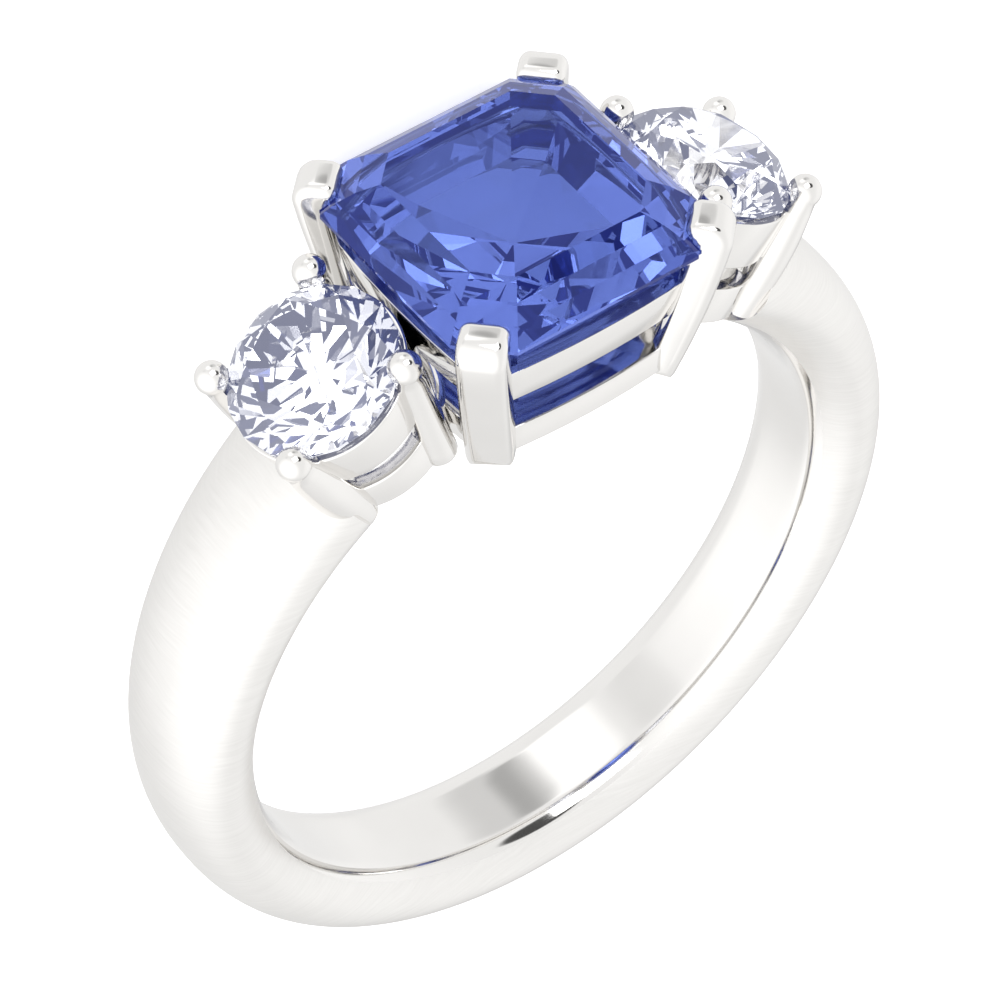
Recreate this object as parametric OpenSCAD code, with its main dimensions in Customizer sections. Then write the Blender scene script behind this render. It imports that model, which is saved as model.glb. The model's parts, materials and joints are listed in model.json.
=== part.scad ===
// Three stone ring, lying on its side.
// A square step cut stone stands in a four claw basket between two round stones in
// round baskets. The band widens towards the stones and ends at the round baskets.
// The ring is drawn upright about the middle of its finger hole, with the stones at +Z
// and the finger along Y, and the last step lays it down.

/* [Finger hole] */
// Inside diameter of the band
finger_d = 16.9; // [15.4:0.1:20]

/* [Band] */
// Thickness of the band at the bottom
band_bottom_t = 2; // [1.7:0.05:2.6]
// Thickness of the band at its ends
band_end_t = 2.55; // [2.1:0.05:2.8]
// Width of the band at the bottom
band_bottom_w = 3.4; // [3.1:0.1:4.4]
// Width of the band at its ends
band_end_w = 4.3; // [4:0.1:5]
// Width of the polished inside of the band, from edge to edge, at the bottom
inside_bottom_w = 2.75; // [2.4:0.05:2.9]
// Width of the polished inside of the band, from edge to edge, at the ends
inside_end_w = 2.4; // [2.2:0.05:3]
// Width of the strip along each edge of the inside that curves away from the finger
comfort_w = 0.55; // [0.4:0.05:0.7]
// How far that strip curves away from the finger
comfort_h = 0.2; // [0.12:0.02:0.26]

/* [Centre stone] */
// Width of the square centre stone
centre_w = 7.16; // [6.6:0.02:7.8]
// Length cut off each side at a corner of the centre stone
centre_corner = 1.07; // [0.8:0.01:1.4]
// Height of the centre stone's girdle above the finger hole
centre_lift = 4.08; // [3.9:0.02:4.6]
// Height of the centre stone's crown above its girdle
centre_crown_h = 1; // [0.8:0.05:1.2]
// Depth of the centre stone below its girdle
centre_depth = 3.4; // [3:0.05:3.6]

/* [Side stones] */
// Diameter of each round side stone
side_d = 4.3; // [3.9:0.02:4.6]
// Height of the side stones' girdles above the finger hole
side_lift = 3.76; // [3.6:0.02:4.2]
// Gap between the centre stone and a side stone, seen from above
side_gap = 0.07; // [0.02:0.01:0.4]
// Thickness of a stone's girdle
girdle_t = 0.1; // [0.06:0.01:0.2]
// Clearance between each stone and its setting
stone_gap = 0.05; // [0.03:0.01:0.1]

/* [Centre claws] */
// Width of a centre claw
claw_w = 1.16; // [0.9:0.02:1.4]
// How far a centre claw stands out past the stone's cut corner
claw_out = 0.72; // [0.6:0.02:0.9]
// How far a centre claw reaches in over the stone's cut corner
claw_over = 0.36; // [0.25:0.01:0.5]
// Height of a centre claw's top above the girdle
claw_top_h = 0.66; // [0.55:0.01:0.85]
// Thickness of a centre claw at the girdle
claw_top_t = 1; // [0.85:0.01:1.1]
// Thickness of a centre claw at the finger hole
claw_foot_t = 0.78; // [0.6:0.01:0.85]
// Lean of the centre claws' outer faces at the girdle
claw_top_lean = 12; // [8:0.5:16]
// Lean of the centre claws' outer faces at the finger hole
claw_foot_lean = 21; // [17:0.5:24]
// Rounding of a centre claw's long edges
claw_round = 0.2; // [0.1:0.01:0.26]

/* [Rails] */
// Height of the centre basket's upper rail
upper_rail_h = 1.15; // [0.8:0.05:1.4]
// Height of the centre basket's lower rail
lower_rail_h = 0.75; // [0.6:0.05:0.9]
// Drop from the centre girdle to the upper rail
upper_rail_drop = 1.15; // [0.9:0.05:1.4]
// Thickness of the centre basket's rails
rail_t = 0.5; // [0.4:0.02:0.6]
// How far the upper rail's ends lie inside the claws' outer faces
upper_rail_set = 0.26; // [0.2:0.01:0.32]
// How far the lower rail's ends lie inside the claws' outer faces
lower_rail_set = 0.09; // [0.05:0.01:0.2]
// How far the middle of each rail bows outwards
rail_bow = 0.14; // [0.05:0.01:0.2]
// Height of the side baskets' upper rail
side_upper_h = 1.3; // [1:0.05:1.5]
// Height of the side baskets' lower rail
side_lower_h = 0.95; // [0.7:0.05:1.1]
// Gap between the side baskets' rails
side_rail_gap = 0.6; // [0.4:0.05:0.7]
// Thickness of the side baskets' rails
side_wall = 0.42; // [0.34:0.01:0.5]

/* [Side prongs] */
// Radius of a side prong's bead
bead_r = 0.39; // [0.34:0.01:0.45]
// Radius of a side prong below its bead
prong_r = 0.35; // [0.3:0.01:0.4]
// Radius of a side prong at its foot
prong_foot_r = 0.42; // [0.38:0.01:0.5]
// Distance of a side prong's bead from the middle of its stone
prong_reach = 2.39; // [2.3:0.01:2.5]
// Height of a side prong's bead above the girdle
bead_lift = 0.27; // [0.2:0.01:0.35]
// Angle between the two prongs next to the centre stone
inner_spread = 102; // [94:1:106]
// Angle between the two prongs next to the band
outer_spread = 86; // [80:1:92]
// Half the distance between a side stone's two inner prongs at the finger hole
inner_foot = 1.8; // [1.7:0.01:1.9]
// Half the distance between its two outer prongs at the finger hole, inside the band's end
outer_foot = 1.5; // [1.4:0.01:1.6]
// Distance from the side stone's axis at which the inner prongs aim for the finger hole
inner_aim = 0.66; // [0.5:0.02:0.8]
// Distance from the side stone's axis at which the outer prongs aim for the finger hole
outer_aim = 1.8; // [1.7:0.02:1.9]
// Distance from the side stone's axis at which the band's ends meet the finger hole
band_end_aim = 1.36; // [1.2:0.02:1.5]

/* [Hidden] */
metal = "gainsboro";
$fn = 64;
far = 40;

// Finger hole and girdle heights
finger_r = finger_d / 2;
centre_z = finger_r + centre_lift;
side_r = side_d / 2;
side_z = finger_r + side_lift;
// The side stone leans out until its inner edge clears the centre stone
side_angle = asin((centre_w / 2 + side_gap) / norm([side_z, side_r])) + atan2(side_r, side_z);

// Rounding of the band's section above and below its widest place: 2 is an ellipse
dome_power = 2.25;
flank_power = 1.8;
// Height of the band's widest place, as a share of its thickness
waist_share = 0.47;
// Growth of the band from its bottom to its ends, as a power of the height
growth = 1.45;
band_stations = 60;
dome_steps = 14;
flank_steps = 4;
// How far the band reaches into the finger hole before it is cut
undercut = 0.12;
// How far a side prong reaches below the lower rail
foot_reach = 0.12;

// Octagon levels of the centre stone, as shares of its half width and of its crown or depth
crown_width_share = [1, 0.91, 0.81, 0.68];
crown_height_share = [0, 0.42, 0.74, 1];
depth_width_share = [1, 0.82, 0.52, 0.02];
depth_share = [0, 0.28, 0.68, 1];

// Round brilliant, as shares of the stone's diameter or radius
table_share = 0.57;
crown_share = 0.16;
pavilion_share = 0.43;
star_share = 0.8;
lower_share = 0.22;

// Centre claws and rails, seen along a claw's width
claw_corner = (centre_w - centre_corner) / sqrt(2);
claw_face = claw_corner + claw_out;
claw_tip_r = 0.3;
claw_bend_r = 0.55;
claw_steps = 5;
claw_drop = centre_lift + 1.1;
upper_rail_z = centre_z - upper_rail_drop - upper_rail_h;
lower_rail_z = finger_r + 0.05;
rail_corner = 0.42;
rail_steps = 6;

// Side baskets, in a frame with the stone's girdle centre at the origin
side_rail_r = side_r + 0.04;
side_rail_foot_r = side_r - 0.06;
side_seat_drop = 0.22;
side_upper_z = -side_seat_drop - side_upper_h;
side_lower_z = side_upper_z - side_rail_gap - side_lower_h;
band_end_angle = 180 - side_angle - asin(band_end_aim / finger_r);

function lerp(a, b, u) = a + (b - a) * u;
function mean2(a, b) = (a + b) / 2;

// A closed skin over rings of points, each with as many points as the next. Seen from the
// last ring's side, the points run counterclockwise. An end is closed by rungs from the
// first half of its ring to the second, so that a ring may bend as a claw does.
function rungs(n) = [for (i = [0:floor((n - 3) / 2)])
    i + 1 == n - 2 - i ? [i, i + 1, n - 1 - i] : [i, i + 1, n - 2 - i, n - 1 - i]];

module skin(rings, looped = false) {
    n = len(rings[0]);
    m = len(rings);
    last = looped ? m - 1 : m - 2;
    walls = [
        for (i = [0:last]) for (j = [0:n - 1])
            let (a = i * n, b = ((i + 1) % m) * n, k = (j + 1) % n)
                each [[a + j, b + j, b + k], [a + j, b + k, a + k]]
    ];
    caps = looped ? [] : concat(
        rungs(n),
        [for (f = rungs(n)) [for (k = [len(f) - 1:-1:0]) (m - 1) * n + f[k]]]
    );
    polyhedron(points = [for (r = rings) each r], faces = concat(walls, caps));
}

// Band

// Share of the way up from the band's bottom to its ends
function rise(angle) = (1 - cos(angle)) / (1 - cos(band_end_angle));
function grown(bottom, end, angle) = lerp(bottom, end, pow(rise(angle), growth));

// One section of the band, as [distance along the finger, distance from the finger's axis]
function band_section(angle) =
    let (
        w = grown(band_bottom_w, band_end_w, angle) / 2,
        a = grown(inside_bottom_w, inside_end_w, angle) / 2,
        top = grown(band_bottom_t, band_end_t, angle),
        waist = waist_share * top,
        foot = (waist - comfort_h) / pow(1 - pow(a / w, flank_power), 1 / flank_power),
        flank = [for (i = [0:flank_steps - 1])
            let (h = (waist - comfort_h) * (1 - i / flank_steps))
                [w * pow(1 - pow(h / foot, flank_power), 1 / flank_power),
                 finger_r + waist - h]],
        dome = [for (i = [0:dome_steps])
            let (q = 180 * i / dome_steps, c = cos(q))
                [w * sign(c) * pow(abs(c), 2 / dome_power),
                 finger_r + waist + (top - waist) * pow(sin(q), 2 / dome_power)]],
        low = a - comfort_w * (1 + undercut / comfort_h)
    )
    concat(
        [[low, finger_r - undercut]],
        flank,
        dome,
        [for (i = [flank_steps - 1:-1:0]) [-flank[i][0], flank[i][1]]],
        [[-low, finger_r - undercut]]
    );

function band_ring(angle) =
    [for (p = band_section(angle)) [p[1] * sin(angle), p[0], -p[1] * cos(angle)]];

module band() {
    difference() {
        skin([for (i = [0:band_stations])
            band_ring(lerp(band_end_angle, -band_end_angle, i / band_stations))]);
        for (side = [0, 1]) side_frame(side)
            cylinder(h = far, r = side_rail_foot_r - side_wall, center = true);
    }
}

// Centre stone and its basket

// Octagon with half width h and corner cut c, at height z
function octagon(h, c, z) = [
    [h, c - h, z], [h, h - c, z], [h - c, h, z], [c - h, h, z],
    [-h, h - c, z], [-h, c - h, z], [c - h, -h, z], [h - c, -h, z]
];

// The step cut stone, or with grow the room that it needs
module step_cut(grow = 0) {
    h = centre_w / 2;
    crown = [for (i = [0:len(crown_width_share) - 1])
        octagon(crown_width_share[i] * h + grow, crown_width_share[i] * centre_corner,
            girdle_t / 2 + crown_height_share[i] * (centre_crown_h - girdle_t / 2) + grow)];
    pavilion = [for (i = [len(depth_share) - 1:-1:0])
        octagon(depth_width_share[i] * h + grow, depth_width_share[i] * centre_corner,
            -girdle_t / 2 - depth_share[i] * (centre_depth - girdle_t / 2) - grow)];
    skin(concat(pavilion, crown));
}

// A claw's outer and inner faces, as distances from the middle at a depth below the girdle
function claw_front(d) =
    claw_face - d * tan(claw_top_lean)
    - d * d / claw_drop / 2 * (tan(claw_foot_lean) - tan(claw_top_lean));
function claw_back(d) = claw_front(d) - lerp(claw_top_t, claw_foot_t, d / claw_drop);

// Outline of a claw in the plane through the finger hole's middle and the stone's corner,
// as [distance from the middle, height], drawn in by inset
function claw_outline(inset) =
    let (
        top = centre_z + claw_top_h,
        bend = [claw_face - claw_bend_r, top - claw_bend_r],
        tip = [claw_corner - claw_over + claw_tip_r, top - claw_tip_r]
    )
    concat(
        [for (i = [claw_steps:-1:1]) let (d = claw_drop * i / claw_steps)
            [claw_front(d) - inset, centre_z - d]],
        [for (i = [0:claw_steps])
            let (q = lerp(-claw_top_lean, 90, i / claw_steps))
                bend + (claw_bend_r - inset) * [cos(q), sin(q)]],
        [for (i = [0:claw_steps])
            let (q = lerp(90, 180 - claw_top_lean, i / claw_steps))
                tip + (claw_tip_r - inset) * [cos(q), sin(q)]],
        [for (i = [0:claw_steps]) let (d = claw_drop * i / claw_steps)
            [claw_back(d) + inset, centre_z - d]]
    );

// Layers across a claw's width, as [place across, inset], rounding its long edges
claw_layers =
    let (w = claw_w / 2, r = claw_round, b = 1 - cos(45)) [
        [w, r], [w - b * r, b * r], [w - r, 0],
        [r - w, 0], [b * r - w, b * r], [-w, r]
    ];

function claw_ring(layer) =
    [for (p = claw_outline(layer[1])) [p[0], layer[0], p[1]]];

module claw() {
    skin([for (layer = claw_layers) claw_ring(layer)]);
}

// Half width of a rail at its ends, at a height, where it lies inside the claws by set
function rail_half(z, set) = claw_front(centre_z - z) / sqrt(2) - set;

// One outline of a rail: four bowed sides that meet inside the claws
function rail_outline(z, half) =
    [for (k = [0:3]) for (i = [0:rail_steps])
        let (
            u = lerp(-1, 1, i / rail_steps),
            x = half + rail_bow * (1 - u * u),
            y = u * (half - rail_corner)
        )
        [x * cos(90 * k) - y * sin(90 * k), x * sin(90 * k) + y * cos(90 * k), z]];

module rail(z, h, foot_half, top_half) {
    skin([
        rail_outline(z, foot_half - rail_t), rail_outline(z, foot_half),
        rail_outline(z + h, top_half), rail_outline(z + h, top_half - rail_t)
    ], looped = true);
}

module centre_basket() {
    for (k = [0:3]) rotate([0, 0, 45 + 90 * k]) claw();
    upper_top = upper_rail_z + upper_rail_h;
    rail(upper_rail_z, upper_rail_h,
        rail_half(upper_rail_z, upper_rail_set), rail_half(upper_top, upper_rail_set));
    lower_half = rail_half(lower_rail_z + lower_rail_h, lower_rail_set);
    rail(lower_rail_z, lower_rail_h, lower_half, lower_half);
}

// Side stones and their baskets

// Frame of a side stone: the girdle's centre, with Z up its axis and X outwards.
// Side 0 is the right one, and side 1 the left.
module side_frame(side) {
    mirror([side, 0, 0]) rotate([0, side_angle, 0]) translate([0, 0, side_z]) children();
}

function around(r, z, turn) =
    [for (k = [0:7]) [r * cos(45 * k + turn), r * sin(45 * k + turn), z]];

// The round brilliant, or with grow the room that it needs
module brilliant(grow = 0) {
    r = side_r + grow;
    g = girdle_t / 2;
    crown_z = g + crown_share * side_d + grow;
    depth = g + pavilion_share * side_d + grow;
    table_r = table_share * side_r / cos(22.5);
    star_r = star_share * side_r + grow;
    lower_r = lower_share * side_r;
    crown_slope = (crown_z - g) / (r - table_r);
    pavilion_slope = (depth - g) / r;
    star_z = crown_z - (star_r * cos(22.5) - table_r) * crown_slope;
    lower_z = -depth + lower_r * cos(22.5) * pavilion_slope;
    points = concat(
        around(table_r, crown_z, 0),
        around(star_r, star_z, 22.5),
        around(r, g, 0),
        around(r, g, 22.5),
        around(r, -g, 0),
        around(r, -g, 22.5),
        around(lower_r, lower_z, 22.5),
        [[0, 0, -depth]]
    );
    faces = concat(
        [[for (k = [7:-1:0]) k]],
        [for (k = [0:7]) let (n = (k + 1) % 8, b = (k + 7) % 8) each [
            [k, n, 8 + k],
            [k, 8 + k, 16 + k, 8 + b],
            [16 + k, 8 + k, 24 + k],
            [24 + k, 8 + k, 16 + n],
            [16 + k, 24 + k, 40 + k, 32 + k],
            [24 + k, 16 + n, 32 + n, 40 + k],
            [32 + k, 40 + k, 48 + k],
            [40 + k, 32 + n, 48 + k],
            [32 + k, 48 + k, 56, 48 + b]
        ]]
    );
    polyhedron(points = points, faces = faces);
}

// A round rod from one point to another
module rod(from, to, r_from, r_to) {
    d = to - from;
    translate(from) rotate([0, acos(d[2] / norm(d)), atan2(d[1], d[0])])
        cylinder(h = norm(d), r1 = r_from, r2 = r_to);
}

// A prong from its bead to its foot below the lower rail. The pair it belongs to stands a
// given angle apart at the beads, and at the finger hole it would be at a given distance
// from the side stone's axis and from the middle. Way is 1 outwards.
module prong(way, across, spread, aim, foot) {
    top = [way * prong_reach * cos(spread / 2), across * prong_reach * sin(spread / 2), bead_lift];
    end = [way * aim, across * foot, -side_lift];
    low = side_lower_z - foot_reach;
    translate(top) sphere(r = bead_r);
    rod(top, lerp(top, end, (top[2] - low) / (top[2] - end[2])), prong_r, prong_foot_r);
}

// A rail of a side basket: radii outside and inside, at its top and its foot
module round_rail(z, h, r_top, r_foot, in_top, in_foot) {
    rotate_extrude() polygon([
        [in_foot, z], [r_foot, z], [r_top, z + h], [in_top, z + h]
    ]);
}

module side_basket() {
    round_rail(side_upper_z, side_upper_h, side_rail_r, side_rail_foot_r,
        side_rail_foot_r - side_wall, side_rail_foot_r - side_wall);
    round_rail(side_lower_z, side_lower_h, side_rail_foot_r, side_rail_foot_r,
        side_rail_foot_r - side_wall, side_rail_foot_r - side_wall);
    for (across = [-1, 1]) {
        prong(-1, across, inner_spread, inner_aim, inner_foot);
        prong(1, across, outer_spread, outer_aim, outer_foot);
    }
}

// Laying the ring on its side

// A point's depth below the finger hole's middle once the ring lies tilted by t,
// and its place towards the stones
function down(y, z, t) = y * cos(t) - z * sin(t);
function along(y, z, t) = z * cos(t) + y * sin(t);

// Points that can touch the ground, as [distance along the finger, height]
claw_points = [for (layer = claw_layers) for (p = claw_outline(layer[1]))
    [(p[0] + abs(layer[0])) / sqrt(2), p[1]]];
foot_points = [for (p = band_section(0)) [p[0], -p[1]]];
table_half = crown_width_share[3] * centre_w / 2;

function reach(points, t) = max([for (p = points) down(p[0], p[1], t)]);
// The tilt at which the far claws and the band's bottom touch the ground together
function rest_tilt(lo, hi, n) =
    let (t = mean2(lo, hi))
    n == 0 ? t
    : reach(claw_points, t) > reach(foot_points, t) ? rest_tilt(t, hi, n - 1)
    : rest_tilt(lo, t, n - 1);

tilt = rest_tilt(0, 30, 30);
lift = reach(claw_points, tilt);
front = max(
    max([for (p = claw_points) along(p[0], p[1], tilt)]),
    along(table_half, centre_z + centre_crown_h, tilt)
);
back = min([for (p = foot_points) along(p[0], p[1], tilt)]);

module lying() {
    translate([0, -mean2(front, back), lift]) rotate([tilt - 90, 0, 0]) children();
}

// Sub-parts

module ring_mount() {
    color(metal) lying() difference() {
        union() {
            band();
            centre_basket();
            for (side = [0, 1]) side_frame(side) side_basket();
        }
        rotate([90, 0, 0]) cylinder(h = far, r = finger_r, center = true, $fn = 180);
        translate([0, 0, centre_z]) step_cut(stone_gap);
        for (side = [0, 1]) side_frame(side) brilliant(stone_gap);
    }
}

module centre_stone() {
    color("royalblue") lying() translate([0, 0, centre_z]) step_cut();
}

module side_stone(side) {
    color("whitesmoke") lying() side_frame(side) brilliant();
}

module left_side_stone() {
    side_stone(1);
}

module right_side_stone() {
    side_stone(0);
}

ring_mount();
centre_stone();
left_side_stone();
right_side_stone();
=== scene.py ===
"""Three stone ring, lying on its side: the looks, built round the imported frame.

Pieces are shaped with the ring upright about the middle of its finger hole, in
millimetres, with the stones at +Z and the finger along Y. The last step of each piece
lays it down in the row frame, in metres.
"""

from __future__ import annotations

import json
import logging
import math
from dataclasses import dataclass, field
from enum import Enum
from typing import Sequence

import bmesh
import bpy
from mathutils import Euler, Matrix, Vector

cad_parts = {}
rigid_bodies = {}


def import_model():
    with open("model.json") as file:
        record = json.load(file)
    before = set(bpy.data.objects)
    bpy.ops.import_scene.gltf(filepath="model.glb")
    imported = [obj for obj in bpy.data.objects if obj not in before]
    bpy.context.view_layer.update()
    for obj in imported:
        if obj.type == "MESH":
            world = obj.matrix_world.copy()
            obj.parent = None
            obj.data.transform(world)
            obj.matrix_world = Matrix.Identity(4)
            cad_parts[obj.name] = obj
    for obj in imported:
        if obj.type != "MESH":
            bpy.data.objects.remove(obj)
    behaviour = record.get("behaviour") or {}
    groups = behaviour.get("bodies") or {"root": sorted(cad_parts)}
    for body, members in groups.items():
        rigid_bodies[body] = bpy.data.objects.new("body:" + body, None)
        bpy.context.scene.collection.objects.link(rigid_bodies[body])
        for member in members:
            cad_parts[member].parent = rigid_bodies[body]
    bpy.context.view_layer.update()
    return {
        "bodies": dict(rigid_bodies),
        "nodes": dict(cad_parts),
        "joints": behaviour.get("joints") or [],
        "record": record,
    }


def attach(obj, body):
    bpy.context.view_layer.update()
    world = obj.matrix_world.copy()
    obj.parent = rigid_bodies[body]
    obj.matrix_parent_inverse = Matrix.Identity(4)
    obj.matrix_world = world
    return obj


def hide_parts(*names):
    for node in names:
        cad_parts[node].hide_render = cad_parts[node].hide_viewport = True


log = logging.getLogger("three_stone_ring")

MM = 0.001
BODY = "root"
EDGE_R = 0.05
EDGE_STEPS = 3
EDGE_ANGLE = 45.0
SAME_PLACE = 1e-5

Point = tuple[float, float, float]
Colour = tuple[float, float, float, float]
Ring = list[Vector]


class Slot(Enum):
    """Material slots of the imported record."""

    BRUSHED = "brushed_white_gold"
    POLISHED = "polished_white_gold"
    BLUE = "blue_stone"
    CLEAR = "clear_stone"


class Side(Enum):
    """The two sides of the centre stone, with the sign of X on each."""

    LEFT = -1
    RIGHT = 1


def lerp(a: float, b: float, u: float) -> float:
    """The value a share u of the way from a to b."""
    return a + (b - a) * u


def rings_round(points: Sequence[tuple[float, float]], count: int) -> list[Ring]:
    """Rings of a turned shape about Z.

    Args:
        points: (radius, height) of each ring, in order.
        count: Points in each ring.

    Returns:
        One ring of points for each (radius, height).
    """
    turns = [2 * math.pi * k / count for k in range(count)]
    return [[Vector((r * math.cos(q), r * math.sin(q), z)) for q in turns] for r, z in points]


@dataclass(frozen=True)
class Pose:
    """How the upright ring is laid down on its side.

    The numbers are those that the solids come to rest with.
    """

    tilt: float = 5.66149
    lift: float = 2.61804
    middle: float = 1.64229

    def turn(self) -> Matrix:
        """The rotation from the upright ring to the lying one."""
        return Matrix.Rotation(math.radians(self.tilt - 90), 4, "X")

    def matrix(self) -> Matrix:
        """Upright millimetres to lying metres."""
        place = Matrix.Translation(Vector((0, -self.middle, self.lift)) * MM)
        return place @ self.turn() @ Matrix.Scale(MM, 4)

    def back(self) -> tuple[Vector, Euler]:
        """Location and rotation of a Mapping node that turns lying places back upright."""
        upright = self.turn().inverted()
        shift = -(upright @ Vector((0, -self.middle, self.lift)))
        return shift, upright.to_euler()


@dataclass(frozen=True)
class RingSizes:
    """Sizes that more than one sub-assembly uses, in millimetres, as in the solids."""

    finger_r: float = 8.45
    centre_w: float = 7.16
    centre_corner: float = 1.07
    centre_z: float = 12.53
    centre_crown_h: float = 1.0
    centre_depth: float = 3.4
    side_r: float = 2.15
    side_z: float = 12.21
    side_angle: float = 27.1085
    side_crown_h: float = 0.74
    girdle: float = 0.1
    stone_gap: float = 0.03
    band_end_angle: float = 143.6301

    def side_frame(self, side: Side) -> Matrix:
        """Frame of a side stone: its girdle's centre, Z up its axis, X outwards."""
        a = math.radians(self.side_angle)
        out = Vector((side.value * math.cos(a), 0, -math.sin(a)))
        up = Vector((side.value * math.sin(a), 0, math.cos(a)))
        across = up.cross(out)
        frame = Matrix((out, across, up)).transposed().to_4x4()
        return Matrix.Translation(up * self.side_z) @ frame


POSE = Pose()
SIZES = RingSizes()


# Shader maths


class Shade:
    """The node tree of a material or of the surroundings, with one method for any node."""

    def __init__(self, owner: bpy.types.Material | bpy.types.World) -> None:
        """Empties the owner's tree.

        Args:
            owner: The material or world to fill.
        """
        owner.use_nodes = True
        self.owner = owner
        self.tree = owner.node_tree
        self.tree.nodes.clear()

    def node(
        self,
        kind: str,
        settings: dict[str, object] | None = None,
        inputs: dict[str | int, object] | None = None,
        out: str | int = 0,
    ) -> Wire:
        """Adds a node.

        Args:
            kind: Blender's name of the node type.
            settings: Properties set first.
            inputs: Value or wire of each socket.
            out: The output that the wire leaves from.

        Returns:
            The output as a wire.
        """
        made = self.tree.nodes.new(kind)
        for key, value in (settings or {}).items():
            setattr(made, key, value)
        for key, value in (inputs or {}).items():
            socket = made.inputs[key]
            if isinstance(value, Wire):
                self.tree.links.new(value.socket, socket)
            else:
                socket.default_value = value
        return Wire(self, made.outputs[out])

    def mix(self, factor: Wire, a: Wire | Colour, b: Wire | Colour) -> Wire:
        """A colour between a and b."""
        return self.node(
            "ShaderNodeMix", {"data_type": "RGBA"}, {0: factor, 6: a, 7: b}, out=2
        )

    def upright(self) -> Wire:
        """Object coordinates turned back to the upright ring, in millimetres."""
        place = self.node("ShaderNodeTexCoord", out="Object")
        shift, turn = POSE.back()
        return self.node(
            "ShaderNodeMapping",
            {"vector_type": "POINT"},
            {"Vector": place, "Location": shift, "Rotation": turn, "Scale": (1 / MM,) * 3},
        )

    def noise(self, place: Wire, scale: float, detail: float = 2, rough: float = 0.5) -> Wire:
        """A noise pattern from 0 to 1."""
        return self.node(
            "ShaderNodeTexNoise",
            {"noise_dimensions": "3D"},
            {"Vector": place, "Scale": scale, "Detail": detail, "Roughness": rough},
            out="Fac",
        )

    def ramp(self, value: Wire, low: float, high: float) -> Wire:
        """A soft step of a value, from 0 at low to 1 at high."""
        return self.node(
            "ShaderNodeMapRange",
            {"interpolation_type": "SMOOTHSTEP"},
            {"Value": value, "From Min": low, "From Max": high},
        )

    def bump(self, height: Wire, strength: float, depth: float) -> Wire:
        """A bumped normal. The depth is in metres."""
        return self.node(
            "ShaderNodeBump", {}, {"Strength": strength, "Distance": depth, "Height": height}
        )

    def surface(self, inputs: dict[str, object]) -> bpy.types.Material:
        """Ends the tree in one Principled surface."""
        shader = self.node("ShaderNodeBsdfPrincipled", {}, inputs)
        end = self.tree.nodes.new("ShaderNodeOutputMaterial")
        self.tree.links.new(shader.socket, end.inputs["Surface"])
        return self.owner


class Wire:
    """A node's output, with Python's operators as Math nodes."""

    def __init__(self, shade: Shade, socket: bpy.types.NodeSocket) -> None:
        """Wraps a socket.

        Args:
            shade: The material that it belongs to.
            socket: The output socket.
        """
        self.shade = shade
        self.socket = socket

    def math(self, operation: str, *others: object) -> Wire:
        """A Math node on this wire and the others."""
        values = dict(enumerate((self, *others)))
        return self.shade.node("ShaderNodeMath", {"operation": operation}, values)

    def __add__(self, other: object) -> Wire:
        """Sum."""
        return self.math("ADD", other)

    def __sub__(self, other: object) -> Wire:
        """Difference."""
        return self.math("SUBTRACT", other)

    def __mul__(self, other: object) -> Wire:
        """Product."""
        return self.math("MULTIPLY", other)

    def __rsub__(self, other: float) -> Wire:
        """A number less this wire."""
        return self.shade.node("ShaderNodeMath", {"operation": "SUBTRACT"}, {0: other, 1: self})

    __radd__ = __add__
    __rmul__ = __mul__

    def parts(self) -> tuple[Wire, Wire, Wire]:
        """The X, Y and Z of a vector."""
        node = self.shade.node("ShaderNodeSeparateXYZ", {}, {0: self}).socket.node
        return tuple(Wire(self.shade, node.outputs[k]) for k in range(3))


# Finishes


@dataclass(frozen=True)
class BrushedGold:
    """White gold brushed by hand: lines across the band's dome, and level on its two flanks."""

    light: Colour = (0.89, 0.879, 0.861, 1)
    dark: Colour = (0.725, 0.713, 0.693, 1)
    line_scale: float = 15.0
    line_detail: float = 3.0
    line_rough: float = 0.65
    line_stretch: float = 0.05
    waver_scale: float = 0.35
    waver: float = 0.5
    flank_start: float = 0.7
    flank_full: float = 1.7
    broad_scale: float = 0.6
    fine_share: float = 0.75
    rough_low: float = 0.3
    rough_high: float = 0.46
    strength: float = 0.45
    depth: float = 0.00001

    def lines(self, s: Shade, place: tuple[Wire, Wire, Wire]) -> Wire:
        """Long thin lines that change along the first coordinate only."""
        first, *others = place
        waver = s.noise(s.upright(), self.waver_scale) * self.waver
        a, b = (other * self.line_stretch for other in others)
        way = s.node("ShaderNodeCombineXYZ", {}, {0: first + waver, 1: a, 2: b})
        return s.noise(way, self.line_scale, self.line_detail, self.line_rough)

    def material(self) -> bpy.types.Material:
        """The finish as a material."""
        s = Shade(bpy.data.materials.new(Slot.BRUSHED.value))
        x, y, z = s.upright().parts()
        turn = x.math("ARCTAN2", z * -1.0) * SIZES.finger_r
        height = (x * x + z * z).math("SQRT")
        dome = self.lines(s, (turn, y, height))
        flank = self.lines(s, (z, x, y))
        edge = s.ramp(y.math("ABSOLUTE"), self.flank_start, self.flank_full)
        fine = dome + (flank - dome) * edge
        broad = s.noise(s.upright(), self.broad_scale, 2)
        tone = fine * self.fine_share + broad * (1 - self.fine_share)
        return s.surface(
            {
                "Base Color": s.mix(tone, self.dark, self.light),
                "Metallic": 1.0,
                "Roughness": tone * (self.rough_high - self.rough_low) + self.rough_low,
                "Normal": s.bump(fine, self.strength, self.depth),
            }
        )


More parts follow.
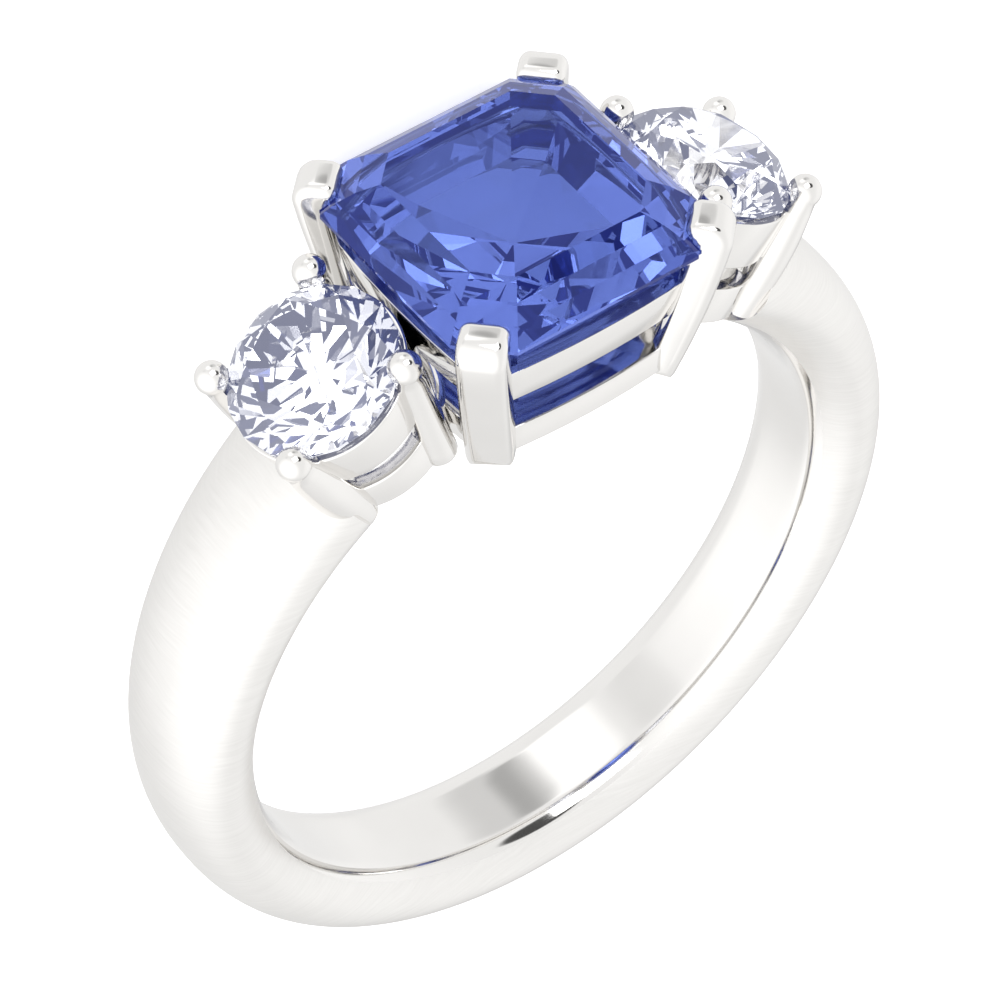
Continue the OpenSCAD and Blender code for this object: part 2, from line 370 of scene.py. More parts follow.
@dataclass(frozen=True)
class PolishedGold:
    """Polished white gold, with a breath of haze and hair lines from wear."""

    light: Colour = (0.82, 0.808, 0.79, 1)
    dark: Colour = (0.78, 0.767, 0.748, 1)
    haze_scale: float = 0.9
    hair_scale: float = 14.0
    haze_share: float = 0.7
    rough_low: float = 0.05
    rough_high: float = 0.13
    strength: float = 0.05
    depth: float = 0.000004

    def material(self) -> bpy.types.Material:
        """The finish as a material."""
        s = Shade(bpy.data.materials.new(Slot.POLISHED.value))
        haze = s.noise(s.upright(), self.haze_scale, 3)
        hair = s.noise(s.upright(), self.hair_scale, 2, 0.7)
        worn = haze * self.haze_share + hair * (1 - self.haze_share)
        return s.surface(
            {
                "Base Color": s.mix(haze, self.dark, self.light),
                "Metallic": 1.0,
                "Roughness": worn * (self.rough_high - self.rough_low) + self.rough_low,
                "Normal": s.bump(hair, self.strength, self.depth),
            }
        )


@dataclass(frozen=True)
class CutStone:
    """A clear or tinted cut stone.

    The tint clouds between light and deep, the glow colour is painted light: a faint
    glow that the stone gives off as emission, and sheen tints what the facets reflect.
    """

    slot: Slot
    light: Colour
    deep: Colour
    painted_glow: Colour
    sheen: Colour
    ior: float
    cloud_scale: float = 0.4

    def material(self) -> bpy.types.Material:
        """The stone as a material: its tint clouds faintly from place to place."""
        s = Shade(bpy.data.materials.new(self.slot.value))
        cloud = s.noise(s.upright(), self.cloud_scale, 1)
        return s.surface(
            {
                "Base Color": s.mix(cloud, self.deep, self.light),
                "Roughness": 0.0,
                "Transmission Weight": 1.0,
                "IOR": self.ior,
                "Specular Tint": self.sheen,
                # Painted glow: the stone gives off a faint light of its own as emission.
                "Emission Color": self.painted_glow,
                "Emission Strength": 1.0,
            }
        )


@dataclass(frozen=True)
class Ground:
    """The plain pale floor."""

    light: Colour = (0.93, 0.93, 0.93, 1)
    dark: Colour = (0.92, 0.92, 0.922, 1)
    grain_scale: float = 300.0
    roughness: float = 0.7
    glow: float = 0.58

    def material(self) -> bpy.types.Material:
        """The floor as a material."""
        s = Shade(bpy.data.materials.new("pale_floor"))
        grain = s.noise(s.node("ShaderNodeTexCoord", out="Object"), self.grain_scale, 2)
        return s.surface(
            {
                "Base Color": s.mix(grain, self.dark, self.light),
                "Roughness": self.roughness,
                "Emission Color": (1, 1, 1, 1),
                "Emission Strength": self.glow,
            }
        )


class Finishes:
    """The materials, made once."""

    def __init__(self) -> None:
        """Makes every material of the object and the floor."""
        self.made: dict[Slot, bpy.types.Material] = {
            Slot.BRUSHED: BrushedGold().material(),
            Slot.POLISHED: PolishedGold().material(),
            Slot.BLUE: CutStone(
                Slot.BLUE,
                light=(0.086, 0.127, 0.39, 1),
                deep=(0.055, 0.088, 0.32, 1),
                # Painted glow of the blue stone, given off as emission.
                painted_glow=(0.006, 0.008, 0.04, 1),
                sheen=(0.28, 0.36, 0.85, 1),
                ior=1.77,
            ).material(),
            Slot.CLEAR: CutStone(
                Slot.CLEAR,
                light=(0.97, 0.975, 0.99, 1),
                deep=(0.94, 0.95, 0.975, 1),
                # Painted glow of the clear stones, given off as emission.
                painted_glow=(0.014, 0.016, 0.031, 1),
                sheen=(1, 1, 1, 1),
                ior=2.3,
            ).material(),
        }
        self.floor = Ground().material()

    def dress(self, piece: bpy.types.Object, slot: Slot, *more: Slot) -> None:
        """Gives a piece its materials and names its slot.

        Args:
            piece: The piece.
            slot: The finish that it is named for.
            more: Further finishes, for faces whose material index says so.
        """
        piece.data.materials.clear()
        for one in (slot, *more):
            piece.data.materials.append(self.made[one])


# Bench tools: what the pieces are shaped with


def deselect() -> None:
    """Leaves nothing selected."""
    if bpy.context.object and bpy.context.object.mode != "OBJECT":
        bpy.ops.object.mode_set(mode="OBJECT")
    bpy.ops.object.select_all(action="DESELECT")


def only(piece: bpy.types.Object) -> None:
    """Selects one object and makes it the active one."""
    deselect()
    piece.select_set(True)
    bpy.context.view_layer.objects.active = piece


def set_ring(mesh: bmesh.types.BMesh, old: Ring, new: Ring) -> None:
    """Moves the selected ring of points from old places to new ones."""
    chosen = [v for v in mesh.verts if v.select]
    places = [v.co.copy() for v in chosen]
    for v, co in zip(chosen, places):
        nearest = min(range(len(old)), key=lambda k: (old[k] - co).length_squared)
        v.co = new[nearest]


def loft(name: str, rings: list[Ring], looped: bool = False) -> bpy.types.Object:
    """A piece drawn through rings of points, by extruding a circle ring by ring.

    Args:
        name: Name of the piece.
        rings: Rings of points, each with as many points as the next.
        looped: True where the last ring joins the first.

    Returns:
        The piece, in upright millimetres.
    """
    deselect()
    count = len(rings[0])
    bpy.ops.mesh.primitive_circle_add(vertices=count, radius=1, fill_type="NOTHING")
    piece = bpy.context.object
    piece.name = name
    bpy.ops.object.mode_set(mode="EDIT")
    mesh = bmesh.from_edit_mesh(piece.data)
    mesh.verts.ensure_lookup_table()
    for v, co in zip(mesh.verts, rings[0]):
        v.co = co
    for old, new in zip(rings, rings[1:]):
        bpy.ops.mesh.select_mode(type="VERT")
        bpy.ops.mesh.extrude_edges_move()
        mesh = bmesh.from_edit_mesh(piece.data)
        set_ring(mesh, old, new)
    bmesh.update_edit_mesh(piece.data)
    bpy.ops.mesh.select_all(action="DESELECT")
    bpy.ops.mesh.select_mode(type="EDGE")
    bpy.ops.mesh.select_non_manifold()
    if looped:
        bpy.ops.mesh.bridge_edge_loops()
    else:
        bpy.ops.mesh.edge_face_add()
        close_ends(piece, rings)
    bpy.ops.mesh.select_all(action="SELECT")
    bpy.ops.mesh.remove_doubles(threshold=SAME_PLACE)
    bpy.ops.mesh.normals_make_consistent(inside=False)
    bpy.ops.object.mode_set(mode="OBJECT")
    return piece


def close_ends(piece: bpy.types.Object, rings: list[Ring]) -> None:
    """Fills whichever end of a loft is still open."""
    for ring in (rings[0], rings[-1]):
        mesh = bmesh.from_edit_mesh(piece.data)
        places = {tuple(round(c, 5) for c in p) for p in ring}
        for v in mesh.verts:
            v.select = tuple(round(c, 5) for c in v.co) in places and any(
                e.is_boundary for e in v.link_edges
            )
        mesh.select_flush(True)
        if any(v.select for v in mesh.verts):
            bpy.ops.mesh.select_mode(type="VERT")
            bpy.ops.mesh.edge_face_add()
        bmesh.update_edit_mesh(piece.data)


def slice_off(piece: bpy.types.Object, place: Vector, way: Vector) -> None:
    """Cuts away what lies beyond a plane, and closes the cut.

    Args:
        piece: The piece.
        place: A point of the plane.
        way: The plane's normal, towards what goes.
    """
    only(piece)
    bpy.ops.object.mode_set(mode="EDIT")
    bpy.ops.mesh.select_all(action="SELECT")
    bpy.ops.mesh.bisect(plane_co=place, plane_no=way, use_fill=True, clear_outer=True)
    bpy.ops.object.mode_set(mode="OBJECT")


def roll_off(
    piece: bpy.types.Object, middle: Vector, r: float, faces: tuple[Vector, Vector], cuts: int
) -> None:
    """Rounds an edge off with flat cuts.

    Args:
        piece: The piece.
        middle: A point of the rounding's axis.
        r: Radius of the rounding.
        faces: Normals of the two faces that meet at the edge.
        cuts: Number of cuts.
    """
    first, last = faces
    for i in range(1, cuts + 1):
        a = math.pi / 2 * i / (cuts + 1)
        way = (first * math.cos(a) + last * math.sin(a)).normalized()
        slice_off(piece, middle + way * r, way)


def ease(piece: bpy.types.Object) -> None:
    """Rounds a piece's sharp edges with an applied bevel."""
    only(piece)
    bevel = piece.modifiers.new("eased", "BEVEL")
    bevel.width = EDGE_R
    bevel.segments = EDGE_STEPS
    bevel.limit_method = "ANGLE"
    bevel.angle_limit = math.radians(EDGE_ANGLE)
    bevel.use_clamp_overlap = True
    bpy.ops.object.modifier_apply(modifier=bevel.name)


def carve(piece: bpy.types.Object, cutters: Sequence[bpy.types.Object]) -> None:
    """Cuts the room of other shapes out of a piece with applied booleans."""
    for cutter in cutters:
        only(piece)
        room = piece.modifiers.new("room", "BOOLEAN")
        room.operation = "DIFFERENCE"
        room.solver = "EXACT"
        room.object = cutter
        bpy.ops.object.modifier_apply(modifier=room.name)


def discard(pieces: Sequence[bpy.types.Object]) -> None:
    """Removes shapes that only served as cutters."""
    for piece in pieces:
        bpy.data.objects.remove(piece)


def move(piece: bpy.types.Object, matrix: Matrix) -> bpy.types.Object:
    """Moves a piece and puts its place into its mesh."""
    only(piece)
    piece.matrix_world = matrix @ piece.matrix_world
    bpy.ops.object.transform_apply(location=True, rotation=True, scale=True)
    return piece


def copy_of(piece: bpy.types.Object, name: str, matrix: Matrix) -> bpy.types.Object:
    """A copy with a mesh of its own, moved and closed outwards."""
    deselect()
    twin = piece.copy()
    twin.data = piece.data.copy()
    twin.name = name
    bpy.context.scene.collection.objects.link(twin)
    move(twin, matrix)
    if matrix.to_3x3().determinant() < 0:
        outwards(twin)
    return twin


def outwards(piece: bpy.types.Object) -> None:
    """Turns a closed piece's faces outwards."""
    only(piece)
    bpy.ops.object.mode_set(mode="EDIT")
    bpy.ops.mesh.select_all(action="SELECT")
    bpy.ops.mesh.remove_doubles(threshold=SAME_PLACE)
    bpy.ops.mesh.normals_make_consistent(inside=False)
    bpy.ops.object.mode_set(mode="OBJECT")


def smooth(piece: bpy.types.Object, angle: float = 40) -> None:
    """Shades a piece smooth up to an angle between faces."""
    only(piece)
    bpy.ops.object.shade_smooth_by_angle(angle=math.radians(angle))


def lay(piece: bpy.types.Object, *nodes: str) -> bpy.types.Object:
    """Lays an upright piece down in the row frame and hands it to the ring's body.

    Args:
        piece: The piece, in upright millimetres.
        nodes: CAD nodes that it stands for.

    Returns:
        The same piece.
    """
    move(piece, POSE.matrix())
    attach(piece, BODY)
    if nodes:
        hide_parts(*nodes)
    log.info("%s: %d faces", piece.name, len(piece.data.polygons))
    return piece


# Sub-assemblies


@dataclass
class StoneRoom:
    """Shapes of the stones, a little larger, to cut their seats with."""

    made: list[bpy.types.Object] = field(default_factory=list)
    below: tuple[tuple[float, float], ...] = ((0.02, 1.0), (0.52, 0.68), (0.82, 0.28))
    above: tuple[tuple[float, float], ...] = ((0.91, 0.42), (0.81, 0.74))
    table: float = 0.68
    side_culet: tuple[float, float] = (0.02, -1.9)
    side_table_r: float = 1.34
    side_sides: int = 48

    def centre(self) -> bpy.types.Object:
        """The centre stone's room, in shares of its half width, depth and crown."""
        half = SIZES.centre_w / 2 + SIZES.stone_gap
        corner = SIZES.centre_corner
        edge = SIZES.girdle / 2
        levels = [(share, -depth * SIZES.centre_depth) for share, depth in self.below]
        levels += [(1.0, -edge), (1.0, edge)]
        levels += [(share, height * SIZES.centre_crown_h) for share, height in self.above]
        levels.append((self.table, SIZES.centre_crown_h + SIZES.stone_gap))
        rings = [self.octagon(half * s, corner * s, SIZES.centre_z + z) for s, z in levels]
        self.made.append(loft("centre_room", rings))
        return self.made[-1]

    @staticmethod
    def octagon(h: float, c: float, z: float) -> Ring:
        """A square of half width h with its corners cut by c, at height z."""
        flat = (
            (h, c - h), (h, h - c), (h - c, h), (c - h, h),
            (-h, h - c), (-h, c - h), (c - h, -h), (h - c, -h),
        )
        return [Vector((x, y, z)) for x, y in flat]

    def side(self, side: Side) -> bpy.types.Object:
        """A side stone's room."""
        r = SIZES.side_r + SIZES.stone_gap
        profile = (
            self.side_culet,
            (r, -SIZES.girdle / 2),
            (r, SIZES.girdle / 2),
            (self.side_table_r, SIZES.side_crown_h + SIZES.stone_gap),
        )
        room = loft("side_room", rings_round(profile, self.side_sides))
        self.made.append(move(room, SIZES.side_frame(side)))
        return room

    def clear(self) -> None:
        """Removes the shapes once the seats are cut."""
        discard(self.made)


@dataclass
class Band:
    """The band: domed and brushed outside, polished inside, wider towards the stones."""

    bottom_t: float = 2.0
    end_t: float = 2.55
    bottom_w: float = 3.4
    end_w: float = 4.3
    inside_bottom_w: float = 2.75
    inside_end_w: float = 2.4
    comfort_w: float = 0.55
    comfort_h: float = 0.2
    dome_power: float = 2.25
    flank_power: float = 1.8
    waist_share: float = 0.47
    growth: float = 1.45
    stations: int = 150
    dome_steps: int = 36
    flank_steps: int = 8
    comfort_steps: int = 5
    bore_steps: int = 6
    basket_bore: float = 1.67
    bore_low: float = -9.0
    bore_high: float = 5.0
    bore_sides: int = 96
    smooth_angle: float = 28.0
    slack: float = 0.01
    end_slack: float = 0.05

    def share(self, angle: float) -> float:
        """Share of the band's growth at an angle from its bottom, in degrees."""
        end = 1 - math.cos(math.radians(SIZES.band_end_angle))
        return ((1 - math.cos(math.radians(angle))) / end) ** self.growth

    def section(self, angle: float) -> list[tuple[float, float]]:
        """One section of the band.

        Args:
            angle: Degrees from the band's bottom.

        Returns:
            (place along the finger, distance from the finger's axis) of each point.
        """
        u = self.share(angle)
        half = lerp(self.bottom_w, self.end_w, u) / 2
        crease = lerp(self.inside_bottom_w, self.inside_end_w, u) / 2
        top = lerp(self.bottom_t, self.end_t, u)
        waist = self.waist_share * top
        drop = waist - self.comfort_h
        foot = drop / (1 - (crease / half) ** self.flank_power) ** (1 / self.flank_power)
        flank = []
        for i in range(self.flank_steps):
            h = drop * (1 - i / self.flank_steps)
            out = half * (1 - (h / foot) ** self.flank_power) ** (1 / self.flank_power)
            flank.append((out, SIZES.finger_r + waist - h))
        dome = []
        for i in range(self.dome_steps + 1):
            q = math.pi * i / self.dome_steps
            out = math.copysign(abs(math.cos(q)) ** (2 / self.dome_power), math.cos(q))
            up = abs(math.sin(q)) ** (2 / self.dome_power)
            dome.append((half * out, SIZES.finger_r + waist + (top - waist) * up))
        strip = []
        for i in range(1, self.comfort_steps + 1):
            u = i / self.comfort_steps
            rise = self.comfort_h * (1 - u) ** 2
            strip.append((crease - self.comfort_w * u, SIZES.finger_r + rise))
        near = strip[-1][0]
        bore = [
            (lerp(-near, near, i / self.bore_steps), SIZES.finger_r)
            for i in range(1, self.bore_steps)
        ]
        left = [(-x, r) for x, r in strip]
        return (
            bore
            + strip[::-1]
            + flank
            + dome
            + [(-x, r) for x, r in flank[::-1]]
            + left
        )

    def ring(self, angle: float) -> Ring:
        """One section as a ring of points in space."""
        a = math.radians(angle)
        return [Vector((r * math.sin(a), y, -r * math.cos(a))) for y, r in self.section(angle)]

    def build(self, finishes: Finishes) -> bpy.types.Object:
        """Builds and dresses the band.

        Args:
            finishes: The materials.

        Returns:
            The band.
        """
        end = SIZES.band_end_angle
        angles = [lerp(end, -end, i / self.stations) for i in range(self.stations + 1)]
        band = loft("band", [self.ring(a) for a in angles])
        drills = []
        for side in Side:
            profile = ((self.basket_bore, self.bore_low), (self.basket_bore, self.bore_high))
            drill = loft("drill", rings_round(profile, self.bore_sides))
            drills.append(move(drill, SIZES.side_frame(side)))
        carve(band, drills)
        discard(drills)
        finishes.dress(band, Slot.BRUSHED, Slot.POLISHED)
        for face in band.data.polygons:
            x, y, z = face.center
            a = math.degrees(math.atan2(x, -z))
            u = self.share(min(abs(a), end))
            crease = lerp(self.inside_bottom_w, self.inside_end_w, u) / 2
            inside = math.hypot(x, z) < SIZES.finger_r + self.comfort_h + self.slack
            at_end = abs(a) > end - self.end_slack
            if (inside and abs(y) < crease) or at_end:
                face.material_index = 1
        smooth(band, self.smooth_angle)
        return lay(band, "ring_mount")


@dataclass
class CentreBasket:
    """The centre stone's basket: four claws and two rails."""

    claw_w: float = 1.16
    claw_out: float = 0.72
    claw_over: float = 0.36
    claw_top_h: float = 0.66
    claw_top_t: float = 1.0
    claw_foot_t: float = 0.78
    claw_top_lean: float = 12
    claw_foot_lean: float = 21
    claw_round: float = 0.27
    edge_steps: int = 5
    foot_round: float = 0.4
    foot_cuts: int = 4
    toe_round: float = 0.34
    toe_cuts: int = 5
    claw_drop: float = 5.18
    foot_depth: float = 4.1
    foot_in: float = 0.25
    foot_slack: float = 0.01
    bend_r: float = 0.55
    tip_r: float = 0.3
    arc_steps: int = 8
    steps: int = 10
    upper_z: float = 10.23
    upper_h: float = 1.15
    lower_z: float = 8.5
    lower_h: float = 0.75
    upper_t: float = 0.5
    lower_t: float = 0.8
    upper_set: float = 0.26
    lower_set: float = 0.09
    bow: float = 0.14
    bow_steps: int = 8
    corner: float = 0.42

    @property
    def claw_corner(self) -> float:
        """Distance of the stone's cut corner from the middle."""
        return (SIZES.centre_w - SIZES.centre_corner) / math.sqrt(2)

    def front(self, depth: float) -> float:
        """Distance of a claw's outer face from the middle, at a depth below the girdle."""
        low = math.tan(math.radians(self.claw_top_lean))
        high = math.tan(math.radians(self.claw_foot_lean))
        face = self.claw_corner + self.claw_out
        return face - depth * low - depth * depth / self.claw_drop / 2 * (high - low)

    def back(self, depth: float) -> float:
        """Distance of a claw's inner face from the middle."""
        thick = lerp(self.claw_top_t, self.claw_foot_t, depth / self.claw_drop)
        return self.front(depth) - thick

    def outline(self, inset: float) -> list[tuple[float, float]]:
        """A claw seen along its width, drawn in by inset: (distance from the middle, height)."""
        top = SIZES.centre_z + self.claw_top_h
        bend = (self.front(0) - self.bend_r, top - self.bend_r)
        tip = (self.claw_corner - self.claw_over + self.tip_r, top - self.tip_r)
        points = []
        for i in range(self.steps, 0, -1):
            d = self.claw_drop * i / self.steps
            points.append((self.front(d) - inset, SIZES.centre_z - d))
        for (x, z), r, low, high in (
            (bend, self.bend_r, -self.claw_top_lean, 90),
            (tip, self.tip_r, 90, 180 - self.claw_top_lean),
        ):
            for i in range(self.arc_steps + 1):
                q = math.radians(lerp(low, high, i / self.arc_steps))
                points.append((x + (r - inset) * math.cos(q), z + (r - inset) * math.sin(q)))
        for i in range(self.steps + 1):
            d = self.claw_drop * i / self.steps
            points.append((self.back(d) + inset, SIZES.centre_z - d))
        return points

    def claw(self) -> bpy.types.Object:
        """One claw, standing towards +X and +Y."""
        half = self.claw_w / 2
        layers = []
        for i in range(self.edge_steps + 1):
            q = math.pi / 2 * i / self.edge_steps
            y = half - self.claw_round * (1 - math.cos(q))
            layers.append((y, self.claw_round * (1 - math.sin(q))))
        layers += [(-y, inset) for y, inset in layers[::-1]]
        rings = [[Vector((r, y, z)) for r, z in self.outline(inset)] for y, inset in layers]
        piece = loft("claw", rings)
        move(piece, Matrix.Rotation(math.radians(45), 4, "Z"))
        middle = self.front(self.foot_depth) / math.sqrt(2) - self.foot_in
        height = math.sqrt(SIZES.finger_r**2 - middle**2)
        down = Vector((-middle, 0, -height)).normalized()
        foot = Vector((middle, middle, height)) - down * self.foot_slack
        slice_off(piece, foot, down)
        self.round_foot(piece, foot, down)
        self.round_toe(piece, foot, down)
        return piece

    def round_foot(self, piece: bpy.types.Object, foot: Vector, down: Vector) -> None:
        """Rounds a claw's foot off towards its two long edges.

        Args:
            piece: The claw.
            foot: The middle of its foot.
            down: The way that the foot faces.
        """
        for sign in (-1, 1):
            across = Vector((-sign, sign, 0)).normalized()
            middle = foot + across * (self.claw_w / 2 - self.foot_round)
            middle.z += (self.foot_round + (middle - foot).dot(down)) / -down.z
            roll_off(piece, middle, self.foot_round, (down, across), self.foot_cuts)

    def round_toe(self, piece: bpy.types.Object, foot: Vector, down: Vector) -> None:
        """Rounds a claw's foot off towards its outer face.

        Args:
            piece: The claw.
            foot: The middle of its foot.
            down: The way that the foot faces.
        """
        lean = math.radians(self.claw_foot_lean)
        out, up = Vector((1, 1, 0)).normalized(), Vector((0, 0, 1))
        face = out * math.cos(lean) - up * math.sin(lean)
        spot = out * self.front(self.foot_depth) + up * (SIZES.centre_z - self.foot_depth)
        planes = Matrix(((out.dot(down), down.z), (out.dot(face), face.z)))
        r = self.toe_round
        shift = planes.inverted() @ Vector((-r, -r - (foot - spot).dot(face)))
        middle = foot + out * shift.x + up * shift.y
        roll_off(piece, middle, r, (down, face), self.toe_cuts)

    def rail_ring(self, half: float, z: float) -> Ring:
        """One outline of a rail: four bowed sides that meet inside the claws."""
        flat = []
        for i in range(self.bow_steps + 1):
            u = lerp(-1, 1, i / self.bow_steps)
            flat.append((half + self.bow * (1 - u * u), u * (half - self.corner)))
        ring = []
        for k in range(4):
            c, s = math.cos(math.pi / 2 * k), math.sin(math.pi / 2 * k)
            ring += [Vector((x * c - y * s, x * s + y * c, z)) for x, y in flat]
        return ring

    def rail(
        self, name: str, z: float, h: float, t: float, foot: float, top: float
    ) -> bpy.types.Object:
        """A rail with eased edges.

        Args:
            name: Name of the rail.
            z: Height of its foot.
            h: Its height.
            t: Its thickness.
            foot: Half width at its foot.
            top: Half width at its top.

        Returns:
            The rail, in upright millimetres.
        """
        rings = [
            self.rail_ring(foot - t, z),
            self.rail_ring(foot, z),
            self.rail_ring(top, z + h),
            self.rail_ring(top - t, z + h),
        ]
        rail = loft(name, rings, looped=True)
        ease(rail)
        return rail

    def half(self, z: float, inset: float) -> float:
        """Half width of a rail at a height, where it lies inside the claws by inset."""
        return self.front(SIZES.centre_z - z) / math.sqrt(2) - inset

    def build(self, finishes: Finishes, room: bpy.types.Object) -> list[bpy.types.Object]:
        """Builds and dresses the basket.

        Args:
            finishes: The materials.
            room: The centre stone's room.

        Returns:
            Its pieces.
        """
        first = self.claw()
        carve(first, [room])
        # The feet follow the finger hole, so a claw's neighbours are its mirror images.
        places = (
            Matrix.Identity(4),
            Matrix.Scale(-1, 4, Vector((1, 0, 0))),
            Matrix.Rotation(math.pi, 4, "Z"),
            Matrix.Scale(-1, 4, Vector((0, 1, 0))),
        )
        claws = [copy_of(first, f"claw_{k + 1}", place) for k, place in enumerate(places)]
        discard([first])
        foot = self.half(self.upper_z, self.upper_set)
        top = self.half(self.upper_z + self.upper_h, self.upper_set)
        low = self.half(self.lower_z + self.lower_h, self.lower_set)
        rails = [
            self.rail("upper_rail", self.upper_z, self.upper_h, self.upper_t, foot, top),
            self.rail("lower_rail", self.lower_z, self.lower_h, self.lower_t, low, low),
        ]
        for piece in claws + rails:
            finishes.dress(piece, Slot.POLISHED)
            smooth(piece)
            lay(piece)
        return claws + rails


@dataclass
class SideBasket:
    """A round stone's basket: two rails and four bead prongs."""

    side: Side
    bead_r: float = 0.41
    prong_r: float = 0.37
    foot_r: float = 0.44
    shoulder: float = 0.13
    foot_edge: tuple[tuple[float, float], ...] = ((0.8, 0.0), (0.95, 0.012))
    foot_end: float = 0.035
    rod_steps: int = 12
    bead_steps: int = 12
    bead_point: float = 0.02
    rod_sides: int = 40
    rail_sides: int = 96
    reach: float = 2.39
    bead_lift: float = 0.27
    inner_spread: float = 102
    outer_spread: float = 86
    inner_foot: float = 1.8
    outer_foot: float = 1.5
    inner_aim: float = 0.66
    outer_aim: float = 1.4
    lift: float = 3.76
    rail_r: float = 2.19
    rail_foot_r: float = 2.09
    wall: float = 0.42
    upper_z: float = -1.52
    upper_h: float = 1.3
    lower_z: float = -3.07
    lower_h: float = 0.95
    below: float = 0.12

    def rod(self, name: str, top: Vector, foot: Vector, swell: float) -> bpy.types.Object:
        """A turned rod from its bead down to its eased foot.

        Args:
            name: Name of the piece.
            top: Middle of the bead.
            foot: End of the rod.
            swell: How much thicker the rod is where it is thickest.

        Returns:
            The rod, in the side stone's frame.
        """
        long = (top - foot).length
        start = math.asin(self.prong_r / self.bead_r)
        neck = long - self.bead_r * math.cos(start)
        rings = [(self.foot_r * share, height * long) for share, height in self.foot_edge]
        for i in range(self.rod_steps + 1):
            u = i / self.rod_steps
            r = lerp(self.foot_r, self.prong_r, u) + swell * math.sin(math.pi * u)
            rings.append((r, lerp(self.foot_end * long, neck, u)))
        for i in range(1, self.bead_steps + 1):
            q = lerp(math.pi - start, self.bead_point, i / self.bead_steps)
            rings.append((self.bead_r * math.sin(q), long + self.bead_r * math.cos(q)))
        piece = loft(name, rings_round(rings, self.rod_sides))
        up = (top - foot).normalized()
        turn = Vector((0, 0, 1)).rotation_difference(up).to_matrix().to_4x4()
        return move(piece, Matrix.Translation(foot) @ turn)

    def prong(self, outer: bool, across: int) -> bpy.types.Object:
        """One prong. An outer one swells into a shoulder where it runs into the band.

        Args:
            outer: True for a prong next to the band.
            across: The sign of its place along the finger.

        Returns:
            The prong, in the side stone's frame.
        """
        way = 1 if outer else -1
        spread = math.radians(self.outer_spread if outer else self.inner_spread) / 2
        aim = self.outer_aim if outer else self.inner_aim
        foot = self.outer_foot if outer else self.inner_foot
        top = Vector(
            (
                way * self.reach * math.cos(spread),
                across * self.reach * math.sin(spread),
                self.bead_lift,
            )
        )
        end = Vector((way * aim, across * foot, -self.lift))
        low = self.lower_z - self.below
        place = top.lerp(end, (top.z - low) / (top.z - end.z))
        row = "outer" if outer else "inner"
        name = f"{self.side.name.lower()}_{row}_prong_{'far' if across > 0 else 'near'}"
        return self.rod(name, top, place, self.shoulder if outer else 0)

    def ring_rail(self, name: str, z: float, h: float, top_r: float) -> bpy.types.Object:
        """A round rail with eased edges."""
        inside = self.rail_foot_r - self.wall
        profile = ((inside, z), (self.rail_foot_r, z), (top_r, z + h), (inside, z + h))
        rail = loft(name, rings_round(profile, self.rail_sides), looped=True)
        ease(rail)
        return rail

    def build(self, finishes: Finishes, room: bpy.types.Object) -> list[bpy.types.Object]:
        """Builds and dresses the basket.

        Args:
            finishes: The materials.
            room: The side stone's room.

        Returns:
            Its pieces.
        """
        word = self.side.name.lower()
        upper = self.ring_rail(f"{word}_upper_rail", self.upper_z, self.upper_h, self.rail_r)
        lower = self.ring_rail(f"{word}_lower_rail", self.lower_z, self.lower_h, self.rail_foot_r)
        prongs = [self.prong(outer, across) for outer in (False, True) for across in (-1, 1)]
        pieces = [upper, lower, *prongs]
        frame = SIZES.side_frame(self.side)
        for piece in pieces:
            move(piece, frame)
            outwards(piece)
            if piece is not lower:
                carve(piece, [room])
            finishes.dress(piece, Slot.POLISHED)
            smooth(piece)
            lay(piece)
        return pieces


@dataclass
class Stones:
    """The three cut stones, which keep the solids' own facets."""

    names: dict[str, Slot] = field(
        default_factory=lambda: {
            "centre_stone": Slot.BLUE,
            "left_side_stone": Slot.CLEAR,
            "right_side_stone": Slot.CLEAR,
        }
    )

    def build(self, finishes: Finishes, nodes: dict[str, bpy.types.Object]) -> None:
        """Dresses the solids' stones.

        Args:
            finishes: The materials.
            nodes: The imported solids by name.
        """
        for name, slot in self.names.items():
            finishes.dress(nodes[name], slot)
            log.info("%s dressed", name)


@dataclass(frozen=True)
class Patch:
    """A soft round patch of the surroundings, lighter or darker than the rest.

    Its edge and its full part are cosines of the angle from its aim.
    """

    aim: Point
    edge: float
    full: float
    strength: float

    def seen(self, s: Shade, way: Wire) -> Wire:
        """How strong the patch is in a direction."""
        toward = s.node(
            "ShaderNodeVectorMath",
            {"operation": "DOT_PRODUCT"},
            {0: way, 1: Vector(self.aim).normalized()},
            out="Value",
        )
        return s.ramp(toward, self.edge, self.full) * self.strength


